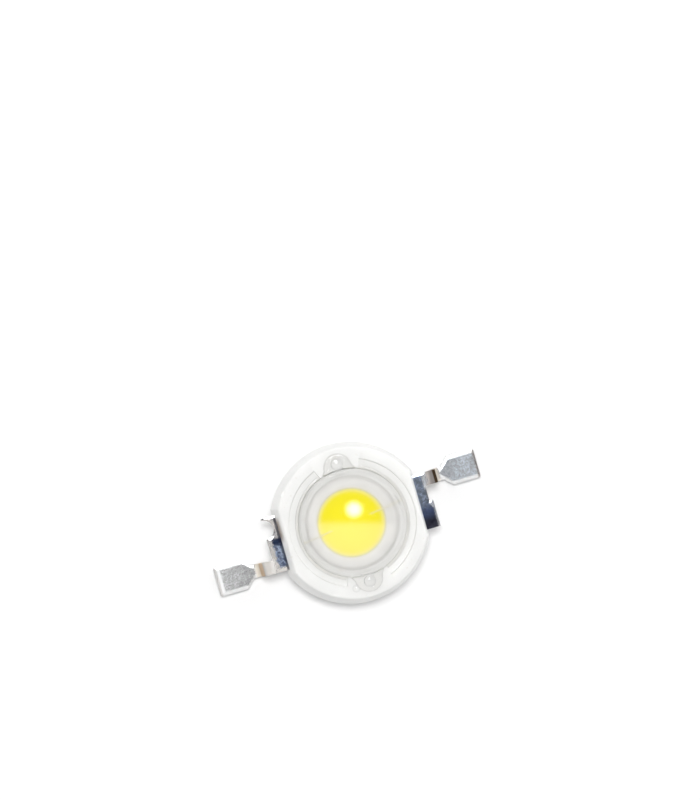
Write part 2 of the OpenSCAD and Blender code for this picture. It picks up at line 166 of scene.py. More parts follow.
class CoreSettings(bpy.types.PropertyGroup):
    foot_diameter: length("Foot diameter", "Diameter of the slug's foot", 5.9)
    foot_height: length("Foot height", "Height of the slug's foot", 0.95)
    foot_chamfer: length("Foot chamfer", "Chamfer round the underside of the foot", 0.12)
    shoulder_diameter: length("Shoulder diameter", "Diameter of the part that the body grips", 4.7)
    shoulder_height: length("Shoulder height", "Height of the shoulder above the foot", 0.3)
    groove_depth: length("Groove depth", "Depth of the locking groove", 0.2)
    groove_width: length("Groove width", "Width of the locking groove", 0.12)
    post_diameter: length("Post diameter", "Diameter of the post that carries the cup", 3.05)
    cup_diameter: length("Cup diameter", "Diameter of the reflector cup at its rim", 2.28)
    cup_floor: length("Cup floor", "Diameter of the cup's floor", 1.64)
    cup_depth: length("Cup depth", "Depth of the cup", 0.5)
    crown: length("Phosphor crown", "Height of the phosphor above the cup's rim", 0.06)
    wire_diameter: length("Wire diameter", "Diameter of a bond wire", 0.03)
    wire_arch: length("Wire arch", "Radius of a bond wire's arch", 0.92)
    wire_start: length("Wire start", "Distance from the chip's middle to a wire's ball", 0.34)
    wire_end: length("Wire end", "Distance from the chip's middle to a wire's foot", 1.82)
    ball_diameter: length("Ball diameter", "Diameter of the ball on the chip", 0.09)
    wire_turn: angle("Wire turn", "Turn of the wires off the X axis", 8.0)
    plate: colour("Slug plating", "Colour of the slug's silver plating", (0.97, 0.96, 0.94))
    phosphor: colour("Phosphor", "Colour of the phosphor", (0.90, 0.79, 0.016))
    # painted light: the colour of the phosphor's brighter side
    phosphor_painted_light: colour("Pale phosphor", "Its colour where it lies thinner", (0.94, 0.83, 0.145))
    phosphor_edge: colour("Phosphor edge", "Its colour beside the cup's rim", (0.93, 0.86, 0.36))
    phosphor_brim: colour("Phosphor brim", "Colour of the thin line where it ends", (0.52, 0.49, 0.38))


class StageSettings(bpy.types.PropertyGroup):
    key: share("Overhead lamp", "Share of white that the overhead lamp gives", 0.54, 2.0)
    key_tilt: angle("Overhead tilt", "Angle between that lamp and the line of sight", 8.0)
    key_spread: angle("Overhead spread", "Width of that lamp as seen from the emitter", 16.0)
    tent: share("Light tent", "Brightness of the white walls all round the emitter", 1.3, 5.0)
    tent_lean: share("Tent lean", "How much brighter they are towards the picture's upper right", 0.42)
    ceiling: share("Ceiling", "Brightness of what is over the emitter", 0.38, 5.0)
    behind_glass: share("Behind glass", "Brightness of what clear plastic bends into view", 0.95, 5.0)
    softbox: share("Softbox", "Brightness of the softbox that the dome reflects", 23.0, 100.0)
    softbox_tilt: angle("Softbox tilt", "Angle between the softbox and the line of sight", 28.0)
    softbox_turn: angle("Softbox turn", "Turn of the softbox from the picture's top to its right", 7.0)
    softbox_core: angle("Softbox core", "Angle from its middle to where it starts to fade", 5.0)
    softbox_edge: angle("Softbox edge", "Angle from its middle to where it has faded out", 20.0)
    table: share("Table", "Brightness of the white table that gloss reflects", 1.3, 10.0)
    studio: share("Studio", "Brightness of the dim studio that gloss reflects", 0.16, 10.0)


# mesh helpers


def arc(radius, start, end, steps, middle=(0.0, 0.0)):
    """Points on a circle, from one angle to another."""
    turns = (start + (end - start) * i / steps for i in range(steps + 1))
    return [(middle[0] + radius * math.cos(a), middle[1] + radius * math.sin(a)) for a in turns]


def ring(radius, z, turns, middle=(0.0, 0.0)):
    """Points at these angles round middle, or the middle alone where there is no radius."""
    if radius < MERGE:
        return [Vector((*middle, z))]
    return [Vector((middle[0] + radius * math.cos(a), middle[1] + radius * math.sin(a), z)) for a in turns]


def skin(name, rings, looped=False):
    """A closed mesh whose faces join each ring of points to the next. A ring of one point is a pole."""
    bm = bmesh.new()
    rows = [[bm.verts.new(p) for p in points] for points in rings]
    for low, high in zip(rows, rows[1:] + rows[:1] if looped else rows[1:]):
        count = max(len(low), len(high))
        for i in range(count):
            j = (i + 1) % count
            corners = (low[i % len(low)], low[j % len(low)], high[j % len(high)], high[i % len(high)])
            corners = list(dict.fromkeys(corners))
            if len(corners) > 2:
                bm.faces.new(corners)
    return finished_mesh(name, bm)


def finished_mesh(name, bm):
    bmesh.ops.remove_doubles(bm, verts=bm.verts, dist=MERGE)
    bmesh.ops.recalc_face_normals(bm, faces=bm.faces)
    mesh = bpy.data.meshes.new(name)
    bm.to_mesh(mesh)
    bm.free()
    return mesh


def turned(name, profile, segments=192, middle=(0.0, 0.0)):
    """A mesh turned about an upright axis from (radius, height) points."""
    turns = [FULL * i / segments for i in range(segments)]
    return skin(name, [ring(r, z, turns, middle) for r, z in profile])


def rounded(corners, steps=4):
    """A chain of (x, y, radius) corners, each rounded by its radius, as plain points."""
    points = []
    for i, (x, y, radius) in enumerate(corners):
        here = Vector((x, y))
        if radius <= 0.0 or i in (0, len(corners) - 1):
            points.append(here)
            continue
        before = (Vector(corners[i - 1][:2]) - here).normalized()
        after = (Vector(corners[i + 1][:2]) - here).normalized()
        half = before.angle(after) / 2
        centre = here + (before + after).normalized() * (radius / math.sin(half))
        start = here + before * (radius / math.tan(half)) - centre
        end = here + after * (radius / math.tan(half)) - centre
        sweep = start.angle(end)
        for k in range(steps + 1):
            q = k / steps * sweep
            points.append(centre + (start * math.sin(sweep - q) + end * math.sin(q)) / math.sin(sweep))
    return points


def slab(name, outline, low, high, round_top=0.0, steps=3):
    """A flat plate from an outline of (x, y) points, with its upper edge rounded."""
    bm = bmesh.new()
    bottom = bm.faces.new([bm.verts.new((x, y, low)) for x, y in outline])
    for item in bmesh.ops.extrude_face_region(bm, geom=[bottom])["geom"]:
        if isinstance(item, bmesh.types.BMVert):
            item.co.z = high
    bmesh.ops.recalc_face_normals(bm, faces=bm.faces)
    if round_top > 0.0:
        top = [e for e in bm.edges if all(abs(v.co.z - high) < MERGE for v in e.verts)]
        bmesh.ops.bevel(bm, geom=top, offset=round_top, segments=steps, profile=0.5, affect="EDGES",
                        clamp_overlap=True)
    return finished_mesh(name, bm)


def block(name, low, high):
    (x, y, bottom), (far_x, far_y, top) = low, high
    return slab(name, [(x, y), (far_x, y), (far_x, far_y), (x, far_y)], bottom, top)


def half_turned(mesh):
    """The same mesh, turned half a turn about Z."""
    mesh.transform(Matrix.Rotation(HALF, 4, "Z"))
    return mesh


def as_object(name, data):
    made = bpy.data.objects.new(name, data)
    bpy.context.scene.collection.objects.link(made)
    return made


def evaluated_mesh(carrier):
    """What the modifiers of an object make of it, as a plain mesh."""
    bpy.context.view_layer.update()
    mesh = bpy.data.meshes.new_from_object(carrier.evaluated_get(bpy.context.evaluated_depsgraph_get()))
    bpy.data.objects.remove(carrier)
    if not mesh.polygons:
        raise RuntimeError("the modifiers left no faces")
    return mesh


def combined(mesh, steps):
    """mesh after each step of (operation, other mesh), as one plain mesh."""
    base = as_object("work", mesh)
    others = []
    for operation, other in steps:
        modifier = base.modifiers.new("step", "BOOLEAN")
        modifier.operation = operation
        modifier.solver = "MANIFOLD"
        modifier.object = as_object("tool", other)
        others.append(modifier.object)
    result = evaluated_mesh(base)
    for other in others:
        bpy.data.objects.remove(other)
    return result


def smoothed(mesh, degrees=32.0):
    mesh.shade_smooth()
    mesh.set_sharp_from_angle(angle=math.radians(degrees))
    return mesh


def add_piece(name, mesh, materials, node):
    """A finished piece that rides on the body and stands for a CAD node."""
    mesh.materials.clear()
    for m in materials:
        mesh.materials.append(m)
    piece = as_object(name, mesh)
    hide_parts(node)
    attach(piece, BODY)


def dress_node(name, material):
    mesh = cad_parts[name].data
    mesh.materials.clear()
    mesh.materials.append(material)


# shader helpers


def worked(a, operation, b=0.0):
    """What a math node makes of a and b, of which one at least is a Term."""
    tree = (a if isinstance(a, Term) else b).socket.id_data
    return term(tree, "ShaderNodeMath", {0: a, 1: b}, operation=operation)


class Term:
    """A number in a shader. Arithmetic with it adds the nodes that work it out."""

    def __init__(self, socket):
        self.socket = socket

    __add__ = partialmethod(worked, "ADD")
    __sub__ = partialmethod(worked, "SUBTRACT")
    __mul__ = partialmethod(worked, "MULTIPLY")
    __abs__ = partialmethod(worked, "ABSOLUTE")
    least = partialmethod(worked, "MINIMUM")
    most = partialmethod(worked, "MAXIMUM")
    root = partialmethod(worked, "SQRT")

    def __rsub__(self, other):
        return worked(other, "SUBTRACT", self)

    def __rtruediv__(self, other):
        return worked(other, "DIVIDE", self)

    def rise(self, low, high):
        """0 at low and 1 at high, with a soft slope between them."""
        inputs = {"Value": self, "From Min": low, "From Max": high}
        return term(self.socket.id_data, "ShaderNodeMapRange", inputs, interpolation_type="SMOOTHSTEP")

    def fall(self, low, high):
        """1 at low and 0 at high."""
        return 1.0 - self.rise(low, high)


def add_node(tree, kind, inputs=None, **settings):
    """A new node with its settings, and with its inputs linked to sockets and Terms or set to values."""
    node = tree.nodes.new(kind)
    for key, value in settings.items():
        setattr(node, key, value)
    for name, value in (inputs or {}).items():
        socket = node.inputs[name]
        value = value.socket if isinstance(value, Term) else value
        if isinstance(value, bpy.types.NodeSocket):
            tree.links.new(value, socket)
        else:
            socket.default_value = (*value, 1.0) if socket.type == "RGBA" else value
    return node


def term(tree, kind, inputs=None, **settings):
    """The first output of a new node."""
    return Term(add_node(tree, kind, inputs, **settings).outputs[0])


def mix(factor, a, b):
    """Colour a where factor is 0, and colour b where it is 1."""
    mixed = add_node(factor.socket.id_data, "ShaderNodeMix", {0: factor, 6: a, 7: b}, data_type="RGBA")
    return mixed.outputs[2]


def shade(colour, *factors):
    """colour with each channel times its own factor, or all of them times one."""
    return [c * k for c, k in zip(colour, factors * (3 // len(factors)))]


def start_material(name):
    material = bpy.data.materials.new(name)
    material.use_nodes = True
    material.node_tree.nodes.clear()
    return material, material.node_tree


def surfaced(material, shader):
    """material with shader on its surface."""
    add_node(material.node_tree, "ShaderNodeOutputMaterial", {"Surface": shader})
    return material


def principled(material, inputs):
    """material with a principled surface."""
    return surfaced(material, term(material.node_tree, "ShaderNodeBsdfPrincipled", inputs))


def place(tree):
    """Object coordinates in millimetres: all three together, and then x, y and z."""
    coords = add_node(tree, "ShaderNodeTexCoord").outputs["Object"]
    where = term(tree, "ShaderNodeMapping", {"Vector": coords, "Scale": (1 / MM, 1 / MM, 1 / MM)})
    parts = add_node(tree, "ShaderNodeSeparateXYZ", {0: where}).outputs
    return where, *(Term(part) for part in parts)


def grain_group():
    """Fine grain, soft blotches and rare specks that several finishes share."""
    group = bpy.data.node_groups.get("Surface grain")
    if group:
        return group
    group = bpy.data.node_groups.new("Surface grain", "ShaderNodeTree")
    group.interface.new_socket("Vector", in_out="INPUT", socket_type="NodeSocketVector")
    for name in ("Grain size", "Blotch size"):
        group.interface.new_socket(name, in_out="INPUT", socket_type="NodeSocketFloat")
    for name in ("Grain", "Blotches", "Specks"):
        group.interface.new_socket(name, in_out="OUTPUT", socket_type="NodeSocketFloat")
    source = add_node(group, "NodeGroupInput").outputs
    fine = 1.0 / Term(source["Grain size"])
    coarse = 1.0 / Term(source["Blotch size"])

    def noise(scale, detail, roughness=0.5):
        inputs = {"Vector": source["Vector"], "Scale": scale, "Detail": detail, "Roughness": roughness}
        return term(group, "ShaderNodeTexNoise", inputs)

    add_node(group, "NodeGroupOutput", {"Grain": noise(fine, 3.0, 0.6), "Blotches": noise(coarse, 2.0),
                                        "Specks": noise(fine * 0.4, 1.0).rise(0.68, 0.74)})
    return group


def surface_marks(where, grain_size, blotch_size):
    """Grain, blotches and specks of these sizes in millimetres."""
    inputs = {"Vector": where, "Grain size": grain_size, "Blotch size": blotch_size}
    marks = add_node(where.socket.id_data, "ShaderNodeGroup", inputs, node_tree=grain_group())
    return [Term(mark) for mark in marks.outputs]


def bump(height, depth):
    """A normal from a height from 0 to 1 that stands for depth in metres."""
    inputs = {"Height": height, "Strength": 1.0, "Distance": depth}
    return term(height.socket.id_data, "ShaderNodeBump", inputs)


# finishes


def white_plastic(body):
    """Moulded white plastic, faintly grained and specked, with brown shade painted on the flat by the
    notch.
    """
    plastic = body.plastic
    material, tree = start_material("white_plastic")
    where, x, y, z = place(tree)
    grain, blotches, specks = surface_marks(where, 0.06, 1.6)
    flat = -body.flat_width / 2 / MM
    # painted shade: brown, on the flat wall just above the anode's lead, where it meets the body
    wall_shade_y = 0.9
    wall_shade = abs(y + (grain * 0.5 - wall_shade_y)).fall(0.3, 0.75) * x.fall(flat + 0.03, flat + 0.07)
    wall_shade = wall_shade * z.rise(1.55, 1.95) * z.fall(2.1, 2.75)
    tint = mix(blotches.rise(0.35, 0.7), plastic, shade(plastic, 0.955))
    tint = mix(wall_shade * 0.8, tint, (0.22, 0.15, 0.11))
    return principled(material, {
        "Base Color": mix(specks * 0.5, tint, shade(plastic, 0.86, 0.83, 0.77)),
        "Roughness": blotches * 0.12 + 0.45,
        "Normal": bump(grain, 0.0012 * MM),
    })


def pad_border(leads, reach, off_axis, end):
    """1 on the burnished border of a solder pad, 0 on its matte field. All lengths in millimetres."""
    half = leads.pad_width / 2 / MM
    slope_end = (pad_start(leads) + leads.flare_gap + leads.flare) / MM
    lean = (leads.pad_width - leads.neck_width) / 2 / leads.flare
    across = abs(off_axis - leads.pad_offset / MM)
    from_slope = ((reach - slope_end) * lean + half - across) * (1 / math.hypot(1.0, lean)) + 0.06
    return (half - across).least(from_slope).least(end - reach).fall(0.12, 0.23)


def plated_lead(leads):
    """Silver plate on copper: matte and grained on the pads with a burnished border, tarnished on the
    cross bars, where painted reflection darkens it most of all at the cathode's free end, and worn down
    to copper at the upper bends. Painted shade darkens the pads towards the necks, the necks, the
    anode's prong, its upper bend and the anode bar's root; painted highlights brighten the cathode
    bar's outer edge and the lower bends.
    All lengths are in millimetres."""
    material, tree = start_material("silver_plate")
    where, x, y, z = place(tree)
    grain, blotches, _ = surface_marks(where, 0.12, 0.45)
    silver, tarnish = leads.silver, leads.tarnish
    bend = leads.bend_start / MM
    pad = pad_start(leads) / MM
    tip = leads_tip() / MM
    bar_edge = leads.bar_reach / MM
    root = leads.root_height / MM
    pad_top = (leads.pad_gap + leads.thickness) / MM
    wander = blotches * 0.3 - 0.15
    reach = abs(x)
    uneven = reach + wander
    downbar = y + wander
    cathode = x.rise(-1.0, 1.0)
    anode = 1.0 - cathode
    neck_side = y * (cathode * 2.0 - 1.0)
    on_neck = uneven.rise(bend - 0.35, bend) * neck_side.rise(0.55, 0.75)
    on_bar = 1.0 - on_neck.most(reach.rise(bend - 0.04, bend))
    low = z.fall(pad_top + 0.05, pad_top + 0.25)
    on_pad = low * reach.rise(pad - 0.2, pad)
    border = pad_border(leads, reach + anode * 0.1, abs(y), cathode * 0.14 + tip)
    field = on_pad * (1.0 - border)
    # the pads' matte fields, pitted, with painted shade darkening them towards the neck
    pits = mix(cathode, shade(silver, 0.34), shade(silver, 0.33))
    matte = mix(cathode, shade(silver, 0.78), shade(silver, 0.73, 0.785, 0.85))
    matte = mix((grain * 0.75 + blotches * 0.25).rise(0.16, 0.8), pits, matte)
    matte = mix(uneven.fall(pad + 0.1, pad + 1.5) * 0.4, matte, shade(silver, 0.3))
    # necks darker on the cathode, painted shade on the anode's prong and the cathode's bend, bright plate
    # below
    neck_tone_and_shade = mix(cathode, shade(silver, 0.8, 0.77, 0.74), shade(silver, 0.44, 0.4, 0.37))
    neck_tone_and_shade = mix(anode * y.rise(0.2, 0.5), neck_tone_and_shade, shade(silver, 0.64, 0.61, 0.6))
    bending = cathode * reach.rise(bend - 0.04, bend + 0.1)
    neck_tone_and_shade = mix(bending, neck_tone_and_shade, shade(silver, 0.33, 0.3, 0.28))
    tint = mix(field, mix(z.rise(root - 0.42, root - 0.12), shade(silver, 1.02), neck_tone_and_shade), matte)
    # the cathode's bar: tarnished, with painted reflection turning it blue and nearly black towards its
    # free end
    spots = grain.rise(0.46, 0.58)
    bar = mix(grain.rise(0.36, 0.64), shade(tarnish, 1.3), shade(tarnish, 0.72))
    bar = mix(downbar.fall(-0.55, 0.1), bar, leads.blue)
    bar = mix(downbar.fall(-1.1, -0.5), bar, leads.sulphide_and_shade)
    bar = mix(spots * 0.3, bar, shade(tarnish, 0.33))
    # painted highlight along the bar's outer edge
    edge_highlight = (reach + y.rise(-0.5, -0.05) * 0.2).rise(bar_edge - 0.14, bar_edge - 0.04)
    bar = mix(edge_highlight * 0.6, bar, silver)
    tint = mix(cathode * on_bar * 0.97, tint, bar)
    # the anode's bar: a strip beside the body, partly tarnish and partly painted reflection, darkest next
    # to it
    frayed = uneven + (grain * 0.5 - 0.25)
    strip = frayed.fall(bar_edge - 0.3, bar_edge - 0.2) * downbar.fall(0.15, 0.4) * downbar.rise(-1.3, -1.1)
    strip_tarnish_and_shade = mix(spots * 0.85, shade(tarnish, 1.35), leads.blue)
    strip_tarnish_and_shade = mix(downbar.rise(-0.25, 0.05), strip_tarnish_and_shade, shade(leads.blue, 0.5))
    tint = mix(anode * strip, tint, strip_tarnish_and_shade)
    # painted shadow: a near-black line where the bar leaves the body
    line = (reach + wander * 0.3).fall(bar_edge - 0.62, bar_edge - 0.56)
    tint = mix(anode * line * 0.72, tint, leads.sulphide_and_shade)
    # dull copper where the plate has worn at the upper bend, near-black painted shade there on the anode, a
    # painted cream highlight on the lower bend, and the cut tip
    worn_and_shaded = (reach - (anode * 0.18 + (bend + 0.27))).rise(0.0, 0.04)
    worn_and_shaded = worn_and_shaded * (z + anode * 0.1).rise(pad_top + 0.25, pad_top + 0.45)
    # painted highlight: cream, on the lower bend
    fillet = z.fall(pad_top + 0.25, pad_top + 0.45) * reach.fall(pad - 0.2, pad)
    tint = mix(fillet, tint, shade(silver, 1.1, 1.0, 0.86))
    tint = mix(worn_and_shaded, tint, mix(cathode, leads.copper, shade(leads.copper, 0.07, 0.055, 0.035)))
    cut = reach.rise(tip - 0.17, tip - 0.08) * (cathode * 0.4 + 0.55)
    tint = mix(cut, tint, shade(silver, 0.57, 0.53, 0.5))
    neck = (1.0 - on_bar) * (1.0 - low)
    dull = worn_and_shaded.most(fillet * 0.7).most(on_pad * border * 0.6).most(bending * neck * 0.85)
    return principled(material, {
        "Base Color": tint,
        "Metallic": 1.0 - dull,
        "Specular IOR Level": worn_and_shaded * -0.45 + 0.5,
        "Roughness": neck * 0.1 + field * 0.07 + dull * 0.25 + 0.19,
        "Normal": bump(grain * (field * 0.8 + 0.2), 0.0025 * MM),
    })


def turned_slug_plate(plate):
    """Silver plate over the fine rings that turning left in the copper."""
    material, tree = start_material("slug_metal")
    where = place(tree)[0]
    grain, blotches, _ = surface_marks(where, 0.04, 0.9)
    inputs = {"Vector": where, "Scale": 6.0, "Distortion": 0.4, "Detail": 2.0}
    rings = add_node(tree, "ShaderNodeTexWave", inputs, wave_type="RINGS", rings_direction="Z")
    height = Term(rings.outputs["Fac"]) * 0.7 + grain * 0.5
    return principled(material, {
        "Base Color": mix(blotches.rise(0.4, 0.7), plate, shade(plate, 0.93)),
        "Metallic": 0.4,
        "Roughness": grain * 0.16 + 0.5,
        "Normal": bump(height, 0.003 * MM),
    })


def glass(name, tint, index, passing, roughness=0.0):
    """Clear plastic or silicone, with painted shade where it is steep, most of all low down on the ears and
    the dome.
    A share of the overhead lamp's light reaches straight through it."""
    material, tree = start_material(name)
    z = place(tree)[3]
    top = top_of("housing").z / MM
    facing = Term(add_node(tree, "ShaderNodeLayerWeight", {"Blend": 0.5}).outputs["Facing"])
    # painted shade on steep faces
    steep = facing * (z.fall(top + 0.28, top + 0.4) * 0.65 + 0.3)
    clear = term(tree, "ShaderNodeBsdfPrincipled", {
        "Base Color": mix(steep, tint, shade(tint, 0.55)),
        "Roughness": roughness,
        "IOR": index,
        "Transmission Weight": 1.0,
    })
    through = term(tree, "ShaderNodeBsdfTransparent", {"Color": (passing, passing, passing)})
    shadow = add_node(tree, "ShaderNodeLightPath").outputs["Is Shadow Ray"]
    return surfaced(material, term(tree, "ShaderNodeMixShader", {0: shadow, 1: clear, 2: through}))


def unseen_skin():
    """The silicone's skin where it wets the lens, the body and the leads: there is nothing to see there."""
    material, tree = start_material("silicone_skin")
    return surfaced(material, term(tree, "ShaderNodeBsdfTransparent"))


def phosphor_finish(core):
    """Yellow phosphor in silicone, paler towards the cup's rim, with painted light paling one side and
    painted shade in a thin line at the rim.
    """
    material, tree = start_material("phosphor")
    where, x, y, _ = place(tree)
    grain = surface_marks(where, 0.03, 0.5)[0]
    lean = math.radians(16.0)
    upward = x * math.sin(lean) + y * math.cos(lean)
    # painted light: one side of the disc paler
    cover = mix(upward.fall(-0.2, 0.17), core.phosphor, core.phosphor_painted_light)
    off_axis = (x * x + y * y).root()
    rim = core.cup_diameter / 2 / MM
    cover = mix(off_axis.rise(rim - 0.2, rim + 0.02), cover, core.phosphor_edge)
    # painted shade: a thin dark line at the cup's rim
    cover = mix(off_axis.rise(rim - 0.055, rim - 0.01) * 0.75, cover, core.phosphor_brim)
    return principled(material, {
        "Base Color": mix(grain.rise(0.5, 0.7) * 0.5, cover, shade(core.phosphor, 0.97, 0.94, 0.9)),
        "Roughness": grain * 0.2 + 0.5,
        "Normal": bump(grain, 0.002 * MM),
        "Specular IOR Level": 0.1,
    })


def plain_metal(name, tint, roughness, metallic=1.0):
    """Evenly coloured metal, a little blotchy."""
    material, tree = start_material(name)
    grain, blotches, _ = surface_marks(place(tree)[0], 0.02, 0.2)
    return principled(material, {
        "Base Color": mix(blotches, tint, shade(tint, 0.92)),
        "Metallic": metallic,
        "Roughness": roughness,
        "Normal": bump(grain, 0.001 * MM),
    })


def chip_finish():
    """Blue-grey chip with a paler frame round its edge."""
    material, tree = start_material("chip")
    _, x, y, _ = place(tree)
    frame_edge = abs(x).most(abs(y)).rise(0.43, 0.45)
    return principled(material, {
        "Base Color": mix(frame_edge, (0.11, 0.16, 0.5), (0.5, 0.55, 0.7)),
        "Roughness": 0.12,
    })


# housing


def folded(turn):
    """The angle brought into the first quarter, since all four quarters of the body are alike."""
    return math.atan2(abs(math.sin(turn)), abs(math.cos(turn)))


def outline_corner(flat, radius, fillet):
    """Angles where a flat ends and where the round part starts, and the height of the fillet's centre."""
    y = math.sqrt((radius - fillet) ** 2 - (flat - fillet) ** 2)
    return math.atan2(y, flat), math.atan2(y, flat - fillet), y


def outline_ring(flat, radius, fillet, z, turns, ends):
    """The body's outline at height z: a circle with two flats and rounded corners between them."""
    flat_end, round_start, corner_y = outline_corner(flat, radius, fillet)
    points = []
    for a in turns:
        t = folded(a)
        if t <= ends[0]:
            x, y = flat, flat * math.tan(t / ends[0] * flat_end)
        elif t <= ends[1]:
            q = (t - ends[0]) / (ends[1] - ends[0]) * round_start
            x, y = flat - fillet + fillet * math.cos(q), corner_y + fillet * math.sin(q)
        else:
            p = round_start + (t - ends[1]) / (QUARTER - ends[1]) * (QUARTER - round_start)
            x, y = radius * math.cos(p), radius * math.sin(p)
        points.append(Vector((math.copysign(x, math.cos(a)), math.copysign(y, math.sin(a)), z)))
    return points


def body_turns(ends, pocket_limit):
    """Angles round the body: even ones, with more at the corners and at the pockets' ends."""
    step = math.radians(0.12)
    spacing = math.radians(0.2)
    special = [ends[0] + (ends[1] - ends[0]) * k / 3 for k in range(4)]
    special += [pocket_limit - step, pocket_limit + step]
    even = (QUARTER * i / 60 for i in range(61))
    quarter = special + [a for a in even if min(abs(a - s) for s in special) > spacing]
    mirrors = ((0, 1), (HALF, -1), (HALF, 1), (FULL, -1))
    turns = [start + side * a for a in quarter for start, side in mirrors]
    turns = sorted({round(a % FULL, 9) for a in turns})
    return [a for a in turns if a < FULL - 1e-7]


def wall_chain(body, widest, foot_step):
    """The body's outer face from its underside to its top face, as (step out, height) points."""
    top = top_of("housing").z
    foot = bottom_of("housing").z
    rise = math.tan(body.top_draft)
    fall = math.tan(body.foot_draft)
    chamfer = body.foot_chamfer
    seam = body.parting_height
    ridge = 0.012 * MM
    soft = 0.03 * MM
    chain = rounded([(foot_step - 2 * chamfer, foot, 0), (foot_step - chamfer, foot, soft),
                     (foot_step + chamfer * fall, foot + chamfer, soft), (widest, seam, 0)])[:-1]
    chain += [(widest - ridge * fall, seam - ridge), (widest + body.flash, seam - ridge / 3),
              (widest + body.flash, seam + ridge / 3), (widest - ridge * rise, seam + ridge)]
    inward = -body.top_diameter / 4
    return chain + rounded([(widest, seam, 0), (0, top, body.edge_round), (inward, top, 0)], 6)[1:-1]


def pocket_rings(body, turns, limit):
    """The top face's inner edge: a pocket on either side, up to the angle limit, or a plain edge."""
    top = top_of("housing").z
    wall = body.pocket_diameter / 2
    bore = body.bore_diameter / 2 - 0.02 * MM
    deep = top - body.pocket_depth
    soft = 0.035 * MM
    pocket = rounded([(wall + 3 * soft, top, 0), (wall, top, soft), (wall, deep, soft), (bore, deep, soft),
                      (bore, deep - 4 * soft, 0)], 3)[1:-1]
    plain = rounded([(wall + 3 * soft, top, 0), (bore, top, soft), (bore, top - 4 * soft, 0)], 3)[1:-1]
    spare = len(pocket) - len(plain)
    start, end = pocket[0][0], plain[0][0]
    plain = [(start + (end - start) * k / spare, top) for k in range(spare)] + plain
    for cut, level in zip(pocket, plain):
        rows = [(a, cut if folded(a) < limit else level) for a in turns]
        yield [Vector((r * math.cos(a), r * math.sin(a), z)) for a, (r, z) in rows]
    # the bore goes on down from here to the ledge that the lens stands on
    yield ring(bore, bottom_of("lens").z, turns)


def housing_cutters(body, lens):
    """What is cut from the body: the silicone's channels, a gate mark and a nick in the top edge."""
    top = top_of("housing").z
    edge = body.top_diameter / 2
    half = body.channel_width / 2
    channel = top - body.channel_depth
    above = top + body.channel_depth
    hole = lens.hole_diameter / 2
    for side in (1, -1):
        ys = sorted((side * lens.hollow_diameter / 2, side * lens.hole_offset))
        yield block("channel", (-half, ys[0], channel), (half, ys[1], above))
        profile = [(0, channel), (hole, channel), (hole, above), (0, above)]
        yield turned("hole", profile, 48, (0.0, side * lens.hole_offset))
    mark = 0.19 * MM
    mark_floor = top - 0.02 * MM
    mark_turn = math.radians(150)
    out = (body.pocket_diameter / 2 + edge) / 2
    middle = (out * math.cos(mark_turn), out * math.sin(mark_turn))
    yield turned("mark", [(0, mark_floor), (mark, mark_floor), (mark, above), (0, above)], 40, middle)
    nick = 0.14 * MM
    cutter = block("nick", (edge - nick / 2, -nick, top - nick), (edge + MM, nick, above))
    cutter.transform(Matrix.Rotation(math.radians(142), 4, "Z"))
    yield cutter


def housing_mesh(body, lens, core):
    top = top_of("housing").z
    foot = bottom_of("housing").z
    half_flat = body.flat_width / 2
    top_radius = body.top_diameter / 2
    ends = outline_corner(half_flat, top_radius, body.corner_round)[:2]
    limit = QUARTER - body.pocket_end
    turns = body_turns(ends, limit)
    widest = (top - body.parting_height) * math.tan(body.top_draft)
    foot_step = widest - (body.parting_height - foot) * math.tan(body.foot_draft)
    gap = 0.005 * MM
    slug_hole = core.foot_diameter / 2 + gap
    rings = [ring(slug_hole, foot, turns)]
    for out, z in wall_chain(body, widest, foot_step):
        rings.append(outline_ring(half_flat + out, top_radius + out, body.corner_round, z, turns, ends))
    rings += pocket_rings(body, turns, limit)
    floor = top_of("anode_lead").z
    post = core.post_diameter / 2 + gap
    shoulder = core.shoulder_diameter / 2 + gap
    groove = shoulder - core.groove_depth
    grip = core.foot_height + core.shoulder_height + gap
    lock = core.foot_height + core.groove_width
    seat = core.foot_height + gap
    rings += [ring(r, z, turns) for r, z in (
        (lens.hollow_diameter / 2, bottom_of("lens").z), (body.well_diameter / 2, floor), (post, floor),
        (post, grip), (shoulder, grip), (shoulder, lock), (groove, lock), (groove, seat),
        (slug_hole, seat))]
    mesh = skin("housing_body", rings, looped=True)
    return smoothed(combined(mesh, [("DIFFERENCE", c) for c in housing_cutters(body, lens)]))


class EMITTER_OT_housing(bpy.types.Operator):
    """Make the white moulded body"""
    bl_idname = "emitter.make_housing"
    bl_label = "Housing"

    def execute(self, context):
        s = context.scene.emitter
        mesh = housing_mesh(s.housing, s.lens, s.core)
        add_piece("housing_body", mesh, [white_plastic(s.housing)], "housing")
        return {"FINISHED"}


# lens and silicone


def ear_points(lens):
    """Outline of the ear on the +Y side, from deep in the dome's wall."""
    root = lens.ear_root
    radius = lens.dome_diameter / 2
    inside = radius - 0.35 * MM
    root_y = math.sqrt(radius ** 2 - root ** 2) - 0.05 * MM
    tip = arc(lens.ear_radius, 0, HALF, 40, (0, lens.ear_offset))
    return [(-root, inside), (root, inside), (root, root_y), *tip, (-root, root_y)]


def hollow_middle(lens):
    """Height of the middle of the hollow's sphere."""
    return top_of("lens").z - lens.crown - lens.hollow_diameter / 2


def fill_top(lens):
    """Height of the silicone at the wall of a filling hole."""
    return top_of("housing").z + lens.ear_thickness - 0.12 * MM


def feed_channel(lens, side, half, low, high):
    """A straight channel from the hollow to a filling hole."""
    ys = sorted((side * (lens.hollow_diameter / 2 - 0.3 * MM), side * lens.hole_offset))
    return block("channel", (-half, ys[0], low), (half, ys[1], high))


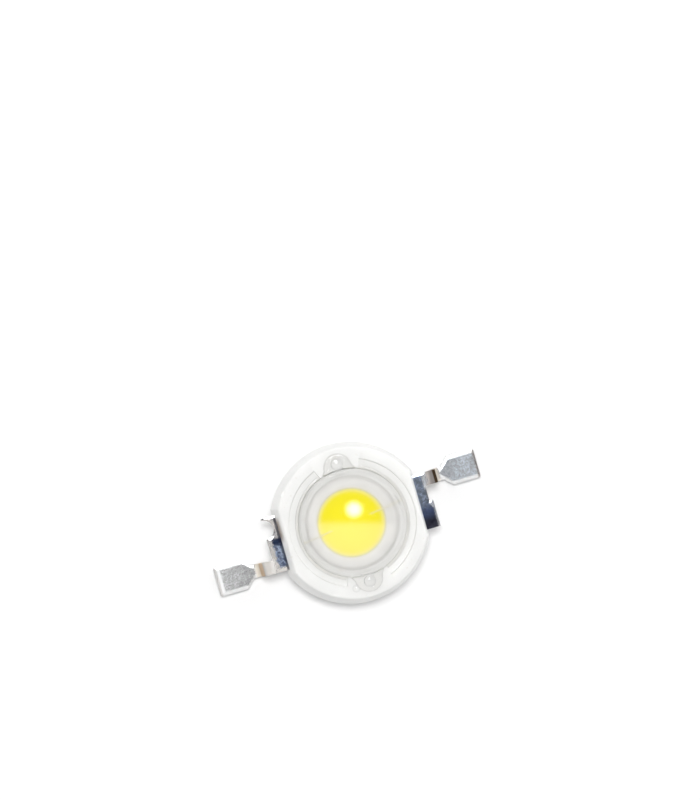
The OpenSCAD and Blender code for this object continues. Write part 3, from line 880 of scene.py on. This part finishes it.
def lens_mesh(body, lens):
    top = top_of("housing").z
    apex = top_of("lens").z
    seat = bottom_of("lens").z
    touch = 0.003 * MM
    lift = 0.004 * MM
    edge = 0.02 * MM
    overlap = 0.1 * MM
    radius = lens.dome_diameter / 2
    hollow = lens.hollow_diameter / 2
    profile = arc(radius, QUARTER, 0, 72, (0, apex - radius))
    profile += [(radius, seat + edge), (radius - edge, seat - touch), (hollow, seat - touch)]
    profile += arc(hollow, 0, QUARTER, 56, (0, hollow_middle(lens)))
    low = top - body.pocket_depth
    end = QUARTER - body.pocket_end - math.radians(2.0)
    band = arc(radius + lens.rim_width, -end, end, 72) + arc(radius - overlap, end, -end, 72)
    steps = []
    for name, outline, bottom, height, soft, parts in (
            ("ear", ear_points(lens), top, lens.ear_thickness, 0.11 * MM, 5),
            ("rim", band, low, lens.rim_thickness, 0.03 * MM, 3)):
        plates = [slab(name, outline, bottom + lift, bottom + height, soft, parts) for _ in range(2)]
        steps += [("UNION", plates[0]), ("UNION", half_turned(plates[1]))]
    hole = [(0, low), (lens.hole_diameter / 2, low), (lens.hole_diameter / 2, apex), (0, apex)]
    for side in (1, -1):
        steps.append(("DIFFERENCE", turned("hole", hole, 64, (0.0, side * lens.hole_offset))))
        channel = feed_channel(lens, side, body.channel_width / 2, top - body.channel_depth, top)
        steps.append(("DIFFERENCE", channel))
    return smoothed(combined(turned("clear_lens", profile, 240), steps))


def wet_faces(mesh, body, lens):
    """Marks the lens's faces that silicone wets with material 1."""
    top = top_of("housing").z
    seat = bottom_of("lens").z
    level = fill_top(lens)
    slack = 0.02 * MM
    centre = Vector((0, 0, hollow_middle(lens)))
    for face in mesh.polygons:
        c = face.center
        off_hole = Vector((c.x, abs(c.y) - lens.hole_offset)).length
        in_hollow = (c - centre).length < lens.hollow_diameter / 2 + slack / 2
        on_seat = c.z < seat + slack / 4
        in_hole = off_hole < lens.hole_diameter / 2 + slack / 2 and c.z < level + slack
        over_channel = abs(c.x) < body.channel_width / 2 + slack / 2 and abs(c.y) < lens.hole_offset
        in_channel = over_channel and c.z < top + slack / 4
        face.material_index = int(in_hollow or on_seat or in_hole or in_channel)


class EMITTER_OT_lens(bpy.types.Operator):
    """Make the clear dome with its rim and ears"""
    bl_idname = "emitter.make_lens"
    bl_label = "Lens"

    def execute(self, context):
        s = context.scene.emitter
        mesh = lens_mesh(s.housing, s.lens)
        dry = glass("clear_plastic", s.lens.tint, 1.5, 0.9, 0.16)
        wet = glass("clear_plastic_in_silicone", (1.0, 1.0, 1.0), 1.05, 1.0)
        add_piece("clear_lens", mesh, [dry, wet], "lens")
        wet_faces(mesh, s.housing, s.lens)
        return {"FINISHED"}


def silicone_mesh(body, lens, core):
    """The silicone in the dome and its two filling holes, a hair smaller than what holds it."""
    thin = 0.004 * MM
    hollow = lens.hollow_diameter / 2 - thin
    floor = top_of("anode_lead").z + thin
    rim_z = top_of("heat_slug").z + thin
    post = core.post_diameter / 2 + 2 * thin
    cup = core.cup_diameter / 2 + thin
    profile = [(0.0, rim_z + core.crown), (cup / 2, rim_z + core.crown * 0.75), (cup, rim_z), (post, rim_z),
               (post, floor), (body.well_diameter / 2 - thin, floor), (hollow, bottom_of("lens").z)]
    profile += arc(hollow, 0, QUARTER, 32, (0, hollow_middle(lens)))[1:]
    top = top_of("housing").z
    low = top - body.channel_depth + thin
    hole = lens.hole_diameter / 2 - thin
    swell = 0.075 * MM
    bulge = [(hole * k / 8, fill_top(lens) + swell * (1 - (k / 8) ** 2)) for k in range(8, -1, -1)]
    steps = []
    for side in (1, -1):
        steps.append(("UNION", feed_channel(lens, side, body.channel_width / 2 - thin, low, top - thin)))
        column = turned("column", [(0.0, low), (hole, low)] + bulge, 48, (0.0, side * lens.hole_offset))
        steps.append(("UNION", column))
    return smoothed(combined(turned("silicone", profile, 128), steps))


def bead_mesh(lens):
    """The drop beside the lower ear, cut to the ear's outline."""
    low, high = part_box("silicone_bead")
    radius = high.z - low.z
    sink = low.z - 0.02 * MM
    profile = [(0.0, sink), (radius, sink)] + arc(radius, 0, QUARTER, 16, (0, low.z))
    bead = turned("squeezed_bead", profile, 64, ((low.x + high.x) / 2, low.y + radius))
    over_ear = low.z + lens.ear_thickness + 0.003 * MM
    ear = half_turned(slab("ear", ear_points(lens), low.z - MM, over_ear))
    return smoothed(combined(bead, [("DIFFERENCE", ear)]))


class EMITTER_OT_silicone(bpy.types.Operator):
    """Make the soft silicone inside the lens and the bead that was squeezed out beside one ear"""
    bl_idname = "emitter.make_silicone"
    bl_label = "Silicone"

    def execute(self, context):
        s = context.scene.emitter
        clear = glass("silicone", (0.985, 0.985, 0.98), 1.41, 0.9)
        mesh = silicone_mesh(s.housing, s.lens, s.core)
        add_piece("silicone", mesh, [clear, unseen_skin()], "silicone_fill")
        open_height = fill_top(s.lens) - 0.06 * MM
        for face in mesh.polygons:
            in_hole = face.center.z > open_height and abs(face.center.y) > s.lens.dome_diameter / 2
            face.material_index = 0 if in_hole and face.normal.z > 0.3 else 1
        add_piece("squeezed_bead", bead_mesh(s.lens), [clear], "silicone_bead")
        return {"FINISHED"}


# slug, phosphor, chip and wires


def slug_mesh(core):
    rim = top_of("heat_slug").z
    bottom = rim - core.cup_depth
    foot = core.foot_diameter / 2
    shoulder = core.shoulder_diameter / 2
    groove = shoulder - core.groove_depth
    post = core.post_diameter / 2
    high = core.foot_height
    lock = high + core.groove_width
    step = high + core.shoulder_height
    edge = 0.02 * MM
    return smoothed(turned("turned_slug", rounded([
        (0, 0, 0), (foot - core.foot_chamfer, 0, edge), (foot, core.foot_chamfer, edge), (foot, high, edge),
        (groove, high, 0), (groove, lock, 0), (shoulder, lock, 0), (shoulder, step, 0), (post, step, 0),
        (post, rim, 5 * edge), (core.cup_diameter / 2, rim, 2 * edge), (core.cup_floor / 2, bottom, edge),
        (0, bottom, 0)])))


def phosphor_mesh(core):
    """What fills the cup and stands over its rim in a low crown, part of a ball."""
    rim = top_of("heat_slug").z
    bottom = rim - core.cup_depth
    cup = core.cup_diameter / 2
    ball = (cup ** 2 + core.crown ** 2) / (2 * core.crown)
    out = [cup * k / 12 for k in range(12, -1, -1)]
    crown = [(r, rim + core.crown - ball + math.sqrt(ball ** 2 - r ** 2)) for r in out]
    return smoothed(turned("phosphor_fill", [(0.0, bottom), (core.cup_floor / 2, bottom)] + crown, 128))


class EMITTER_OT_core(bpy.types.Operator):
    """Make the heat slug with its cup and the phosphor in it, and dress the chip on its bond"""
    bl_idname = "emitter.make_core"
    bl_label = "Slug, chip and phosphor"

    def execute(self, context):
        core = context.scene.emitter.core
        plate = turned_slug_plate(core.plate)
        add_piece("turned_slug", slug_mesh(core), [plate], "heat_slug")
        add_piece("phosphor_fill", phosphor_mesh(core), [phosphor_finish(core)], "phosphor")
        dress_node("led_chip", chip_finish())
        dress_node("die_bond", plain_metal("silver_paste", (0.55, 0.55, 0.57), 0.5))
        return {"FINISHED"}


def wire_tree():
    """A bond wire: an arch, a ball where it starts and a flat foot where it ends."""
    tree = bpy.data.node_groups.new("Bond wire", "GeometryNodeTree")
    for name in ("Wire radius", "Arch radius", "Start angle", "Sweep", "Arch X", "Arch Z", "Ball radius",
                 "Ball X", "Ball Z", "Foot X", "Foot Z", "Turn"):
        tree.interface.new_socket(name, in_out="INPUT", socket_type="NodeSocketFloat")
    tree.interface.new_socket("Gold", in_out="INPUT", socket_type="NodeSocketMaterial")
    tree.interface.new_socket("Geometry", in_out="OUTPUT", socket_type="NodeSocketGeometry")
    source = add_node(tree, "NodeGroupInput").outputs

    def moved(part, spot, **change):
        """part moved to the spot that two inputs give, with what else changes on the way."""
        there = term(tree, "ShaderNodeCombineXYZ", {"X": source[spot + " X"], "Z": source[spot + " Z"]})
        return term(tree, "GeometryNodeTransform", {"Geometry": part, "Translation": there, **change})

    path = term(tree, "GeometryNodeCurveArc", {
        "Resolution": 40, "Radius": source["Arch radius"], "Start Angle": source["Start angle"],
        "Sweep Angle": source["Sweep"]})
    inputs = {"Resolution": 16, "Radius": source["Wire radius"]}
    section = term(tree, "GeometryNodeCurvePrimitiveCircle", inputs)
    inputs = {"Curve": path, "Profile Curve": section, "Fill Caps": True}
    tube = term(tree, "GeometryNodeCurveToMesh", inputs)
    parts = [moved(tube, "Arch", Rotation=(QUARTER, 0.0, 0.0))]
    for spot, flat in (("Ball", 0.4), ("Foot", 0.25)):
        inputs = {"Segments": 20, "Rings": 12, "Radius": source["Ball radius"]}
        ball = term(tree, "GeometryNodeMeshUVSphere", inputs)
        parts.append(moved(ball, spot, Scale=(1.0, 1.0, flat)))
    joined = add_node(tree, "GeometryNodeJoinGeometry")
    for part in reversed(parts):
        tree.links.new(part.socket, joined.inputs[0])
    swing = term(tree, "ShaderNodeCombineXYZ", {"Z": source["Turn"]})
    wire = term(tree, "GeometryNodeTransform", {"Geometry": joined.outputs[0], "Rotation": swing})
    wire = term(tree, "GeometryNodeRealizeInstances", {"Geometry": wire})
    wire = term(tree, "GeometryNodeSetMaterial", {"Geometry": wire, "Material": source["Gold"]})
    add_node(tree, "NodeGroupOutput", {"Geometry": wire})
    return tree


def wire_mesh(name, tree, values):
    carrier = as_object("carrier", bpy.data.meshes.new("carrier"))
    modifier = carrier.modifiers.new("wire", "NODES")
    modifier.node_group = tree
    for item in tree.interface.items_tree:
        if item.in_out == "INPUT":
            modifier[item.identifier] = values[item.name]
    mesh = evaluated_mesh(carrier)
    mesh.name = name
    return smoothed(mesh, 60.0)


class EMITTER_OT_wires(bpy.types.Operator):
    """Make the two gold bond wires"""
    bl_idname = "emitter.make_wires"
    bl_label = "Bond wires"

    def execute(self, context):
        core = context.scene.emitter.core
        start = Vector((core.wire_start, top_of("led_chip").z))
        end = Vector((core.wire_end, top_of("anode_lead").z))
        chord = end - start
        sink = math.sqrt(core.wire_arch ** 2 - chord.length_squared / 4) / chord.length
        centre = (start + end) / 2 - sink * Vector((-chord.y, chord.x))
        first = math.atan2(end.y - centre.y, end.x - centre.x)
        last = math.atan2(start.y - centre.y, start.x - centre.x)
        gold = plain_metal("gold", (1.0, 0.96, 0.78), 0.5, 0.4)
        tree = wire_tree()
        values = {
            "Wire radius": core.wire_diameter / 2, "Ball radius": core.ball_diameter / 2,
            "Arch radius": core.wire_arch, "Start angle": first, "Sweep": last - first,
            "Arch X": centre.x, "Arch Z": centre.y, "Ball X": start.x, "Ball Z": start.y + 0.02 * MM,
            "Foot X": end.x, "Foot Z": end.y + 0.008 * MM, "Gold": gold,
        }
        for side, turn in (("cathode", core.wire_turn), ("anode", core.wire_turn + HALF)):
            name = f"gold_wire_{side}"
            mesh = wire_mesh(name, tree, {**values, "Turn": turn})
            add_piece(name, mesh, [gold], f"{side}_wire")
        return {"FINISHED"}


# leads


def leads_tip():
    return top_of("cathode_lead").x


def bend_length(leads, radius):
    return (radius + leads.thickness / 2) * leads.steepness


def bend_reach(leads):
    """How far the centres of the two bends lie apart, across the strip between them."""
    return leads.upper_radius + leads.thickness + leads.lower_radius


def drop_length(leads):
    a = leads.steepness
    rise = leads.root_height - leads.pad_gap - bend_reach(leads)
    return (rise + bend_reach(leads) * math.cos(a)) / math.sin(a)


def pad_start(leads):
    a = leads.steepness
    return leads.bend_start + bend_reach(leads) * math.sin(a) + drop_length(leads) * math.cos(a)


def lead_outline(leads, notched):
    """The flat blank of a lead before it is bent, its pad on the +X side, as (x, y) points."""
    outer = leads.bar_length / 2
    inner = outer - leads.neck_width
    bar = leads.bar_reach
    start = top_of("housing").x - 0.3 * MM
    finger = leads.finger_width / 2
    hollow = leads.finger_gap / 2
    sweep = math.asin(finger / hollow)
    bends = bend_length(leads, leads.upper_radius) + bend_length(leads, leads.lower_radius)
    bends += drop_length(leads)
    slope = leads.bend_start + bends + leads.flare_gap
    full = slope + leads.flare
    end = leads.bend_start + bends + leads_tip() - pad_start(leads)
    low = leads.pad_offset - leads.pad_width / 2
    high = leads.pad_offset + leads.pad_width / 2
    soft = 0.08 * MM
    points = [*arc(hollow, sweep, -sweep, 12), (start, -finger), (start, -outer), (bar, -outer)]
    if notched:
        corner = bar
        middle = -outer + leads.notch_land + leads.notch_radius
        points += arc(leads.notch_radius, -QUARTER, -QUARTER - HALF, 24, (bar, middle))
    else:
        corner = bar - leads.relief
        points += [(bar, leads.relief_start), (corner, leads.relief_start)]
    fillet = min(leads.fillet, leads.bend_start - corner, inner - leads.relief_start)
    points += arc(fillet, HALF, QUARTER, 8, (corner + fillet, inner - fillet))
    points += [(slope, inner), (full, low), *arc(soft, -QUARTER, 0, 4, (end - soft, low + soft))]
    points += [*arc(soft, 0, QUARTER, 4, (end - soft, high - soft)), (full, high)]
    points += [(slope, outer), (start, outer), (start, finger)]
    points = [Vector(p) for p in points]
    return [p for i, p in enumerate(points) if (p - points[i - 1]).length > 1e-7]


def bent(leads, s, height):
    """Where the point s along the flat blank, height above its underside, comes to lie: its x and z."""

    def slanting(angle):
        return Vector((math.sin(angle), math.cos(angle)))

    a = leads.steepness
    upper = Vector((leads.bend_start, leads.root_height - leads.upper_radius))
    lower = Vector((pad_start(leads), leads.pad_gap + leads.thickness + leads.lower_radius))
    s -= leads.bend_start
    if s <= 0:
        return leads.bend_start + s, leads.root_height + height
    bend = bend_length(leads, leads.upper_radius)
    if s <= bend:
        return upper + (leads.upper_radius + height) * slanting(s / bend * a)
    s -= bend
    drop = drop_length(leads)
    if s <= drop:
        return upper + (leads.upper_radius + height) * slanting(a) + s * Vector((math.cos(a), -math.sin(a)))
    s -= drop
    bend = bend_length(leads, leads.lower_radius)
    if s <= bend:
        return lower - (leads.lower_radius + leads.thickness - height) * slanting(a - s / bend * a)
    return lower.x + s - bend, leads.pad_gap + height


def distance_to(point, a, b):
    along = max(0.0, min(1.0, (point - a).dot(b - a) / (b - a).length_squared))
    return (point - a - along * (b - a)).length


def cut_grid(bm, outline, leads):
    """Cuts the blank's upper face into small cells, so that its edge can be rolled."""
    start = (top_of("housing").x - 0.6 * MM, -leads.bar_length / 2)
    end = (max(p.x for p in outline), leads.pad_offset + leads.pad_width / 2)
    for axis, normal in enumerate(((1, 0, 0), (0, 1, 0))):
        for i in range(int((end[axis] - start[axis]) / CELL) + 1):
            point = Vector(normal) * (start[axis] + CELL * i)
            level = (f for f in bm.faces if abs(f.normal.z) > 0.5)
            faces = [f for f in level if f.calc_center_median().z > leads.thickness / 2]
            geometry = {item for f in faces for item in (*f.verts, *f.edges, f)}
            bmesh.ops.bisect_plane(bm, geom=[*geometry], dist=MERGE, plane_co=point, plane_no=normal)


def roll_edges(bm, outline, leads):
    """Sinks the upper face towards the outline as a punch does, though hardly on the neck."""
    sides = list(zip(outline, outline[1:] + outline[:1]))
    neck_start = leads.bend_start - 0.3 * MM
    neck_end = leads.bend_start + bend_length(leads, leads.upper_radius) + drop_length(leads)
    for v in bm.verts:
        if v.co.z > leads.thickness / 2:
            inside = min(distance_to(v.co.to_2d(), a, b) for a, b in sides) / leads.roll_width
            on_neck = min(v.co.x - neck_start, neck_end - v.co.x) / (4 * CELL)
            on_neck = max(0.0, min(1.0, on_neck))
            v.co.z -= leads.roll_depth * (1.0 - 0.92 * on_neck) * max(0.0, 1.0 - inside) ** 2


def lead_mesh(leads, notched):
    outline = lead_outline(leads, notched)
    bm = bmesh.new()
    bm.from_mesh(slab("lead", outline, 0.0, leads.thickness))
    cut_grid(bm, outline, leads)
    roll_edges(bm, outline, leads)
    upper = bend_length(leads, leads.upper_radius)
    drop = drop_length(leads)
    lower = bend_length(leads, leads.lower_radius)
    steps = 16
    cuts = [upper * i / steps for i in range(steps + 1)] + [upper + drop * i / 4 for i in range(1, 4)]
    cuts += [upper + drop + lower * i / steps for i in range(steps + 1)]
    for s in cuts:
        geometry = [*bm.verts, *bm.edges, *bm.faces]
        point = (leads.bend_start + s, 0, 0)
        bmesh.ops.bisect_plane(bm, geom=geometry, dist=MERGE, plane_co=point, plane_no=(1, 0, 0))
    for v in bm.verts:
        v.co.x, v.co.z = bent(leads, v.co.x, v.co.z)
    mesh = smoothed(finished_mesh("lead", bm))
    return half_turned(mesh) if notched else mesh


class EMITTER_OT_leads(bpy.types.Operator):
    """Make the two punched and bent leads"""
    bl_idname = "emitter.make_leads"
    bl_label = "Leads"

    def execute(self, context):
        leads = context.scene.emitter.leads
        plate = plated_lead(leads)
        for side, notched in (("cathode", False), ("anode", True)):
            mesh = lead_mesh(leads, notched)
            add_piece(f"bent_lead_{side}", mesh, [plate], f"{side}_lead")
        return {"FINISHED"}


# stage

IMAGE_SIZE = (700, 800)
OBJECT_PIXEL = (352.9, 522.6)
PIXELS_PER_MM = 19.82
CAMERA_DISTANCE = 0.2
LAMP_DISTANCE = 0.5
SIGHT = Vector((-0.11, 0.035, 1.0)).normalized()
ROLL = math.radians(16.0)
IMAGE_UP = Vector((math.sin(ROLL), math.cos(ROLL), 0.0))
IMAGE_RIGHT = Vector((math.cos(ROLL), -math.sin(ROLL), 0.0))
VIEW_UP = (IMAGE_UP - IMAGE_UP.dot(SIGHT) * SIGHT).normalized()
VIEW_RIGHT = VIEW_UP.cross(SIGHT)


def add_camera():
    """A camera over the dome, turned and placed so that the emitter sits where the picture has it."""
    target = Vector((0, 0, top_of("housing").z))
    aim = Matrix((VIEW_RIGHT, VIEW_UP, SIGHT)).transposed()
    focal = PIXELS_PER_MM / MM * CAMERA_DISTANCE
    offset = Vector((OBJECT_PIXEL[0] - IMAGE_SIZE[0] / 2, IMAGE_SIZE[1] / 2 - OBJECT_PIXEL[1], -focal))
    swing = offset.rotation_difference(Vector((0, 0, -1))).to_matrix()
    data = bpy.data.cameras.new("camera")
    data.lens = focal * data.sensor_width / max(IMAGE_SIZE)
    data.clip_start, data.clip_end = 0.01, 10.0
    camera = as_object("camera", data)
    camera.matrix_world = Matrix.Translation(target + CAMERA_DISTANCE * SIGHT) @ (aim @ swing).to_4x4()
    bpy.context.scene.camera = camera


def leaning(tilt, turn=0.0):
    """The direction tilt away from the camera's, towards the picture's top or turn to the right of it."""
    sideways = math.cos(turn) * VIEW_UP + math.sin(turn) * VIEW_RIGHT
    return math.cos(tilt) * SIGHT + math.sin(tilt) * sideways


def add_key_lamp(stage):
    """A round lamp overhead, which gloss and glass don't show."""
    direction = leaning(stage.key_tilt)
    radius = LAMP_DISTANCE * math.tan(stage.key_spread / 2)
    data = bpy.data.lights.new("overhead", "AREA")
    data.shape = "DISK"
    data.size = 2 * radius
    data.energy = stage.key / math.sin(stage.key_spread / 2) ** 2 * (math.pi * radius) ** 2
    lamp = as_object("overhead", data)
    lamp.location = direction * LAMP_DISTANCE
    lamp.rotation_mode = "QUATERNION"
    lamp.rotation_quaternion = direction.to_track_quat("Z", "Y")
    lamp.visible_glossy = lamp.visible_transmission = False


def component(direction, axis):
    """How far a direction in a shader points along an axis."""
    inputs = {0: direction, 1: tuple(axis)}
    node = add_node(direction.id_data, "ShaderNodeVectorMath", inputs, operation="DOT_PRODUCT")
    return Term(node.outputs["Value"])


def add_surroundings(stage):
    """A light tent whose walls are brighter than its ceiling. Gloss reflects a white table on the lower
    side of the picture, a dim studio on the upper side and a round softbox."""
    world = bpy.data.worlds.new("surroundings")
    world.use_nodes = True
    world.cycles.sampling_method = "NONE"
    tree = world.node_tree
    tree.nodes.clear()
    direction = add_node(tree, "ShaderNodeTexCoord").outputs["Generated"]
    path = {name: Term(out) for name, out in add_node(tree, "ShaderNodeLightPath").outputs.items()}
    brighter = (IMAGE_UP + 0.8 * IMAGE_RIGHT).normalized()
    walls = component(direction, brighter) * (stage.tent * stage.tent_lean) + stage.tent
    walls = term(tree, "ShaderNodeCombineColor", {"Red": walls, "Green": walls, "Blue": walls})
    tent = mix(component(direction, (0.0, 0.0, 1.0)).rise(0.2, 0.6), walls, [stage.ceiling] * 3)
    room = mix(component(direction, IMAGE_UP).rise(-0.08, 0.04), shade([stage.table] * 3, 1.0, 0.99, 0.96),
               shade([stage.studio] * 3, 1.0, 1.1, 1.35))
    aim = component(direction, leaning(stage.softbox_tilt, stage.softbox_turn))
    lit = aim.rise(math.cos(stage.softbox_edge), math.cos(stage.softbox_core))
    room = mix(lit, room, [stage.softbox] * 3)
    light = mix(path["Is Glossy Ray"], tent, room)
    light = mix(path["Is Transmission Ray"], light, [stage.behind_glass] * 3)
    tint = mix(path["Is Camera Ray"], light, WHITE)
    sky = term(tree, "ShaderNodeBackground", {"Color": tint, "Strength": 1.0})
    add_node(tree, "ShaderNodeOutputWorld", {"Surface": sky})
    bpy.context.scene.world = world


def add_floor():
    """A grey floor that is plain white where the camera, or glass and gloss, look at it."""
    material, tree = start_material("floor")
    plain = term(tree, "ShaderNodeBsdfDiffuse", {"Color": (0.72, 0.72, 0.72)})
    white = term(tree, "ShaderNodeBsdfDiffuse", {"Color": WHITE})
    path = {name: Term(out) for name, out in add_node(tree, "ShaderNodeLightPath").outputs.items()}
    seen = path["Is Camera Ray"].most(path["Is Glossy Ray"]).most(path["Is Transmission Ray"])
    surfaced(material, term(tree, "ShaderNodeMixShader", {0: seen, 1: plain, 2: white}))
    half = 0.3
    mesh = bpy.data.meshes.new("floor")
    corners = [(-half, -half, 0), (half, -half, 0), (half, half, 0), (-half, half, 0)]
    mesh.from_pydata(corners, [], [(0, 1, 2, 3)])
    mesh.materials.append(material)
    floor = as_object("floor", mesh)
    floor.location.z = bottom_of("heat_slug").z - 0.002 * MM


class EMITTER_OT_stage(bpy.types.Operator):
    """Set up the floor, the lamps, the surroundings and the camera"""
    bl_idname = "emitter.make_stage"
    bl_label = "Stage"

    def execute(self, context):
        stage = context.scene.emitter.stage
        add_camera()
        add_floor()
        add_surroundings(stage)
        add_key_lamp(stage)
        context.scene.view_settings.view_transform = "Standard"
        return {"FINISHED"}


# add-on


class EmitterSettings(bpy.types.PropertyGroup):
    housing: bpy.props.PointerProperty(type=HousingSettings, name="Housing", description="The moulded body")
    lens: bpy.props.PointerProperty(type=LensSettings, name="Lens", description="The clear dome")
    leads: bpy.props.PointerProperty(type=LeadSettings, name="Leads", description="The two bent leads")
    core: bpy.props.PointerProperty(type=CoreSettings, name="Core", description="Slug, chip and wires")
    stage: bpy.props.PointerProperty(type=StageSettings, name="Stage", description="Lamps and surroundings")


OPERATORS = (EMITTER_OT_housing, EMITTER_OT_leads, EMITTER_OT_core, EMITTER_OT_wires, EMITTER_OT_silicone,
             EMITTER_OT_lens, EMITTER_OT_stage)


class EMITTER_PT_panel(bpy.types.Panel):
    """Lists the emitter's pieces"""
    bl_idname = "EMITTER_PT_panel"
    bl_label = "Power LED emitter"
    bl_space_type = "VIEW_3D"
    bl_region_type = "UI"
    bl_category = "Emitter"

    def draw(self, context):
        for operator in OPERATORS:
            self.layout.operator(operator.bl_idname)


CLASSES = (HousingSettings, LensSettings, LeadSettings, CoreSettings, StageSettings, EmitterSettings,
           *OPERATORS, EMITTER_PT_panel)


def register():
    for c in CLASSES:
        bpy.utils.register_class(c)
    bpy.types.Scene.emitter = bpy.props.PointerProperty(type=EmitterSettings)


def unregister():
    del bpy.types.Scene.emitter
    for c in reversed(CLASSES):
        bpy.utils.unregister_class(c)


def main():
    register()
    for operator in OPERATORS:
        group, name = operator.bl_idname.split(".")
        getattr(getattr(bpy.ops, group), name)()


if __name__ == "__main__":
    main()
